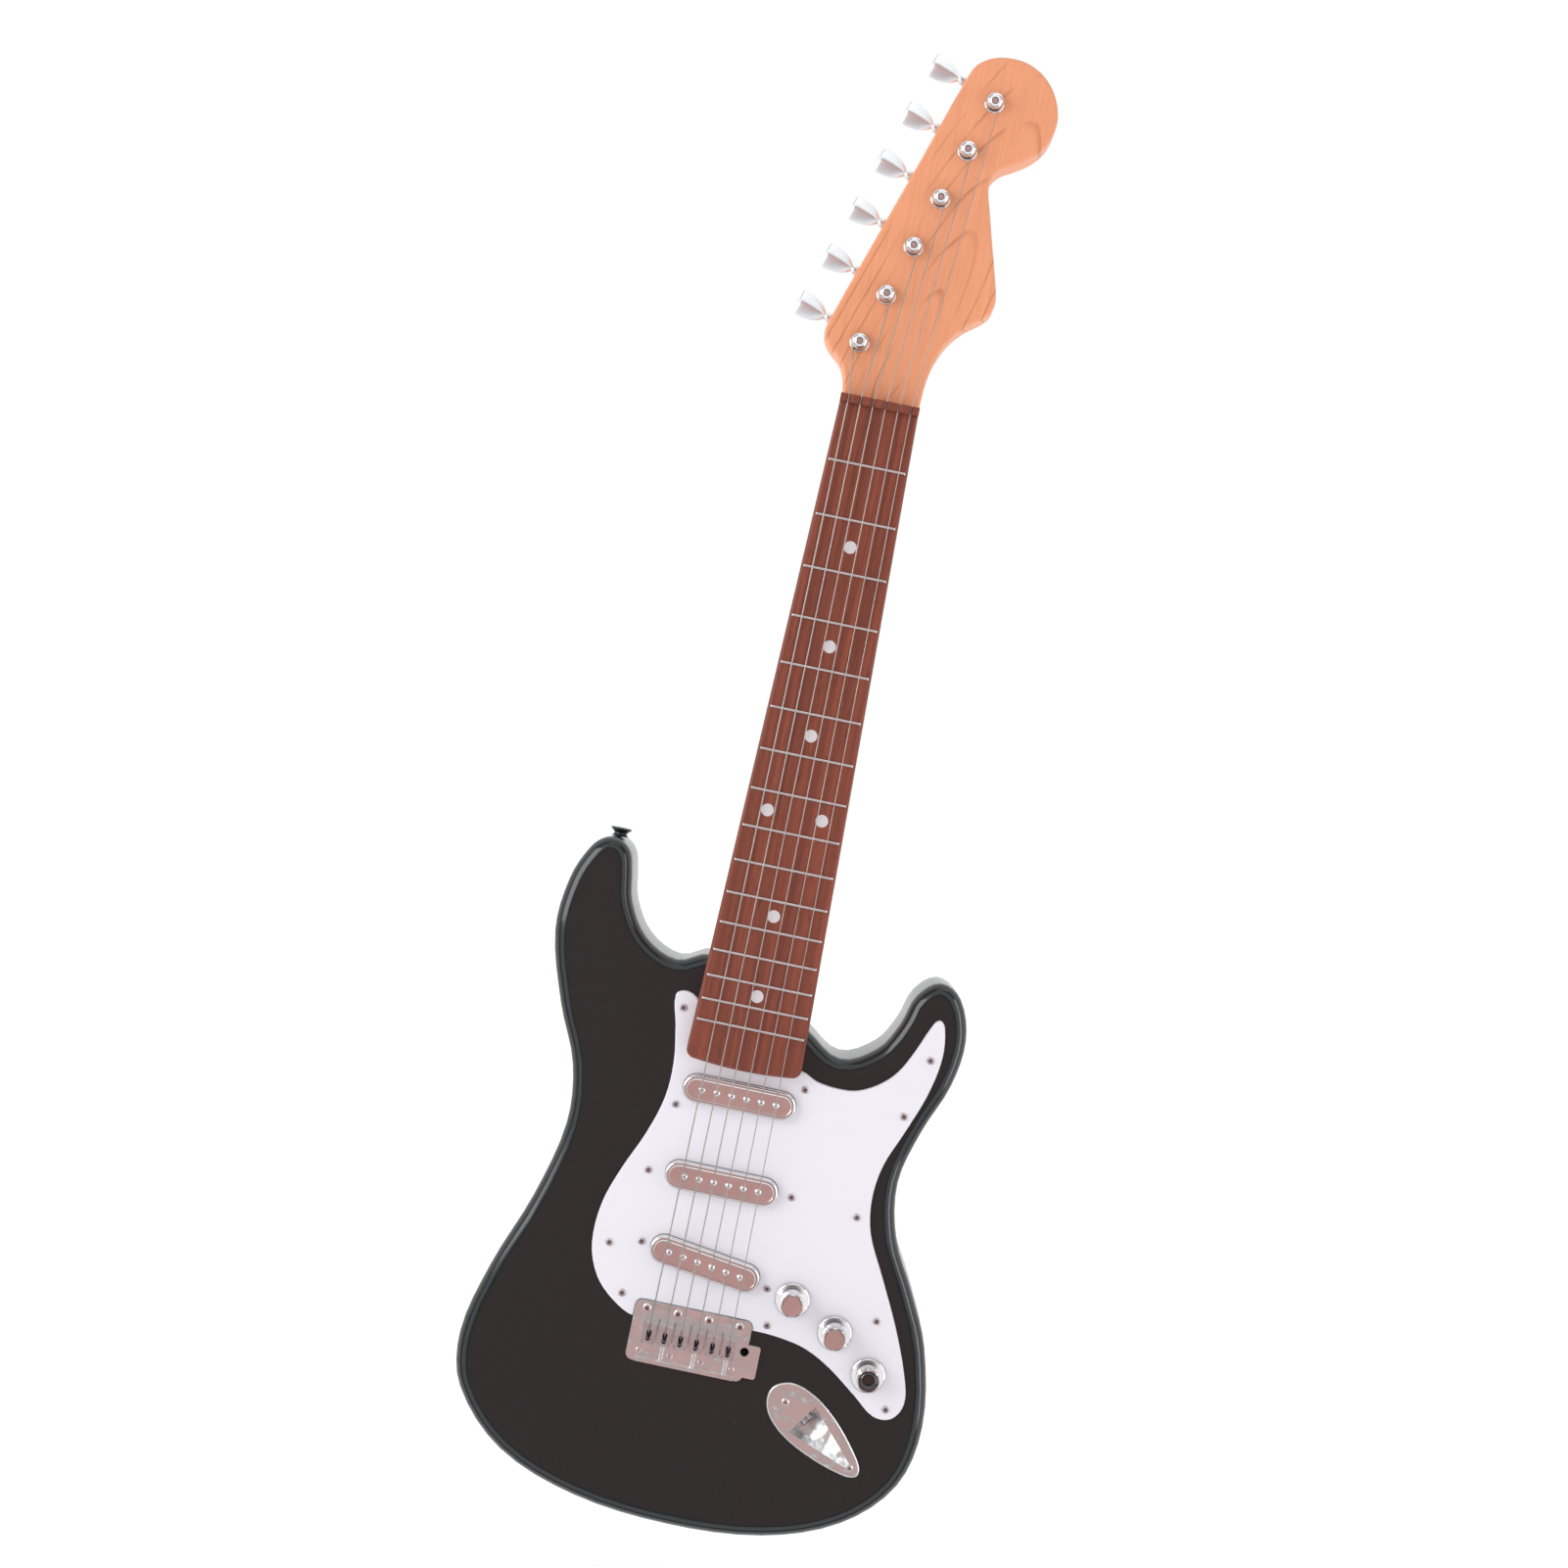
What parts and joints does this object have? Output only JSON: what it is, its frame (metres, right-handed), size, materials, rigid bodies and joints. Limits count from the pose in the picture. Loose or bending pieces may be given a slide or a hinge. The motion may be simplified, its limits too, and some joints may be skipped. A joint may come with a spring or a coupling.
{
  "type": "toy electric guitar",
  "caption": "Small toy electric guitar: black two-shell body, wood-tone neck, steel strings, turning tuners and knobs, hidden battery sound unit.",
  "frame": {"origin": "on the neck's centre line level with the nut, in the plane where fretboard and neck meet: where a wall hanger's yoke straddles the neck", "axes": "+Z along the neck to the headstock, +Y to the back, +X right seen from the front"},
  "size_m": [0.2085, 0.0521, 0.6645],
  "materials": {
    "body_black": "gloss black moulded plastic",
    "guard_white": "smooth white plastic sheet",
    "chrome_trim": "bright chrome plating",
    "neck_wood_tone": "satin wood-tone plastic with printed grain",
    "fretboard_brown": "brown moulded plastic with fine grain",
    "fret_metal": "polished metal wire",
    "marker_pearl": "pearl grey plastic",
    "string_steel": "steel wire",
    "screw_steel": "zinc-plated steel",
    "button_black": "glossy black plastic",
    "switch_black": "black plastic",
    "switch_red": "red plastic",
    "board_green": "circuit board with solder mask",
    "speaker_black": "black paper cone and frame",
    "cell_wrap": "wrapped dry cell",
    "wire_red": "insulated wire"
  },
  "bodies": {
    "root": {"front_shell": "body_black", "rear_shell": "body_black", "shell_screws": "screw_steel", "pickguard": "guard_white", "pickguard_screws": "chrome_trim", "neck_pickup": "chrome_trim", "middle_pickup": "chrome_trim", "bridge_pickup": "chrome_trim", "pole_screws": "chrome_trim", "bridge_plate": "chrome_trim", "saddles": "chrome_trim", "bridge_screws": "chrome_trim", "jack_plate": "chrome_trim", "jack_socket": "screw_steel", "jack_screws": "chrome_trim", "neck_back": "neck_wood_tone", "headstock_cover": "neck_wood_tone", "headstock_screws": "screw_steel", "fretboard": "fretboard_brown", "nut": "fretboard_brown", "frets": "fret_metal", "fret_markers": "marker_pearl", "neck_plate": "chrome_trim", "neck_screws": "screw_steel", "strings": "string_steel", "tuner_bushings": "chrome_trim", "potentiometers": "screw_steel", "push_switch": "switch_black", "circuit_board": "board_green", "speaker": "speaker_black", "battery_cells": "cell_wrap", "battery_contacts": "screw_steel", "power_switch_body": "switch_black", "strap_buttons": "body_black", "strap_screws": "screw_steel", "wiring": "wire_red"},
    "tuner_key_1": {"tuner_button_1": "chrome_trim"},
    "string_post_1": {"tuner_post_1": "chrome_trim"},
    "tuner_key_2": {"tuner_button_2": "chrome_trim"},
    "string_post_2": {"tuner_post_2": "chrome_trim"},
    "tuner_key_3": {"tuner_button_3": "chrome_trim"},
    "string_post_3": {"tuner_post_3": "chrome_trim"},
    "tuner_key_4": {"tuner_button_4": "chrome_trim"},
    "string_post_4": {"tuner_post_4": "chrome_trim"},
    "tuner_key_5": {"tuner_button_5": "chrome_trim"},
    "string_post_5": {"tuner_post_5": "chrome_trim"},
    "tuner_key_6": {"tuner_button_6": "chrome_trim"},
    "string_post_6": {"tuner_post_6": "chrome_trim"},
    "volume_control": {"volume_knob": "chrome_trim", "volume_shaft": "screw_steel"},
    "tone_control": {"tone_knob": "chrome_trim", "tone_shaft": "screw_steel"},
    "sound_control": {"sound_knob": "chrome_trim", "sound_shaft": "screw_steel"},
    "push_button": {"push_button": "button_black"},
    "battery_cover": {"battery_door": "body_black", "battery_door_screw": "screw_steel"},
    "power_switch": {"power_switch_cap": "switch_red"}
  },
  "joints": [
    {"name": "tuner_turn_1", "type": "hinge", "parent": "root", "child": "tuner_key_1", "pos_m": [-0.01298, 0.008, 0.03221], "axis": [-0.9521, 0, 0.3057], "continuous": true},
    {"name": "post_turn_1", "type": "hinge", "parent": "root", "child": "string_post_1", "pos_m": [-0.0142, 0.008, 0.0284], "axis": [0, 1, 0], "continuous": true},
    {"name": "tuner_turn_2", "type": "hinge", "parent": "root", "child": "tuner_key_2", "pos_m": [-0.00567, 0.008, 0.05496], "axis": [-0.9521, 0, 0.3057], "continuous": true},
    {"name": "post_turn_2", "type": "hinge", "parent": "root", "child": "string_post_2", "pos_m": [-0.00689, 0.008, 0.05116], "axis": [0, 1, 0], "continuous": true},
    {"name": "tuner_turn_3", "type": "hinge", "parent": "root", "child": "tuner_key_3", "pos_m": [0.00163, 0.008, 0.07772], "axis": [-0.9521, 0, 0.3057], "continuous": true},
    {"name": "post_turn_3", "type": "hinge", "parent": "root", "child": "string_post_3", "pos_m": [0.00041, 0.008, 0.07391], "axis": [0, 1, 0], "continuous": true},
    {"name": "tuner_turn_4", "type": "hinge", "parent": "root", "child": "tuner_key_4", "pos_m": [0.00894, 0.008, 0.10048], "axis": [-0.9521, 0, 0.3057], "continuous": true},
    {"name": "post_turn_4", "type": "hinge", "parent": "root", "child": "string_post_4", "pos_m": [0.00772, 0.008, 0.09667], "axis": [0, 1, 0], "continuous": true},
    {"name": "tuner_turn_5", "type": "hinge", "parent": "root", "child": "tuner_key_5", "pos_m": [0.01625, 0.008, 0.12323], "axis": [-0.9521, 0, 0.3057], "continuous": true},
    {"name": "post_turn_5", "type": "hinge", "parent": "root", "child": "string_post_5", "pos_m": [0.01502, 0.008, 0.11942], "axis": [0, 1, 0], "continuous": true},
    {"name": "tuner_turn_6", "type": "hinge", "parent": "root", "child": "tuner_key_6", "pos_m": [0.02355, 0.008, 0.14599], "axis": [-0.9521, 0, 0.3057], "continuous": true},
    {"name": "post_turn_6", "type": "hinge", "parent": "root", "child": "string_post_6", "pos_m": [0.02233, 0.008, 0.14218], "axis": [0, 1, 0], "continuous": true},
    {"name": "volume_turn", "type": "hinge", "parent": "root", "child": "volume_control", "pos_m": [0.0418, 0, -0.38674], "axis": [0, -1, 0], "range_deg": [-140, 140]},
    {"name": "tone_turn", "type": "hinge", "parent": "root", "child": "tone_control", "pos_m": [0.0627, 0, -0.39714], "axis": [0, -1, 0], "range_deg": [-140, 140]},
    {"name": "sound_turn", "type": "hinge", "parent": "root", "child": "sound_control", "pos_m": [0.0807, 0, -0.41214], "axis": [0, -1, 0], "range_deg": [-140, 140]},
    {"name": "push_button_press", "type": "slide", "parent": "sound_control", "child": "push_button", "axis": [0, 1, 0], "range_m": [0, 0.001], "stiffness_N_per_m": 400},
    {"name": "battery_cover_off", "type": "slide", "parent": "root", "child": "battery_cover", "axis": [0, 1, 0], "range_m": [0, 0.03]},
    {"name": "power_switch_slide", "type": "slide", "parent": "root", "child": "power_switch", "axis": [0, 0, 1], "range_m": [0, 0.003]}
  ],
  "couplings": [
    {"joint": "post_turn_1", "follows": "tuner_turn_1", "ratio": 0.071429},
    {"joint": "post_turn_2", "follows": "tuner_turn_2", "ratio": 0.071429},
    {"joint": "post_turn_3", "follows": "tuner_turn_3", "ratio": 0.071429},
    {"joint": "post_turn_4", "follows": "tuner_turn_4", "ratio": 0.071429},
    {"joint": "post_turn_5", "follows": "tuner_turn_5", "ratio": 0.071429},
    {"joint": "post_turn_6", "follows": "tuner_turn_6", "ratio": 0.071429}
  ]
}
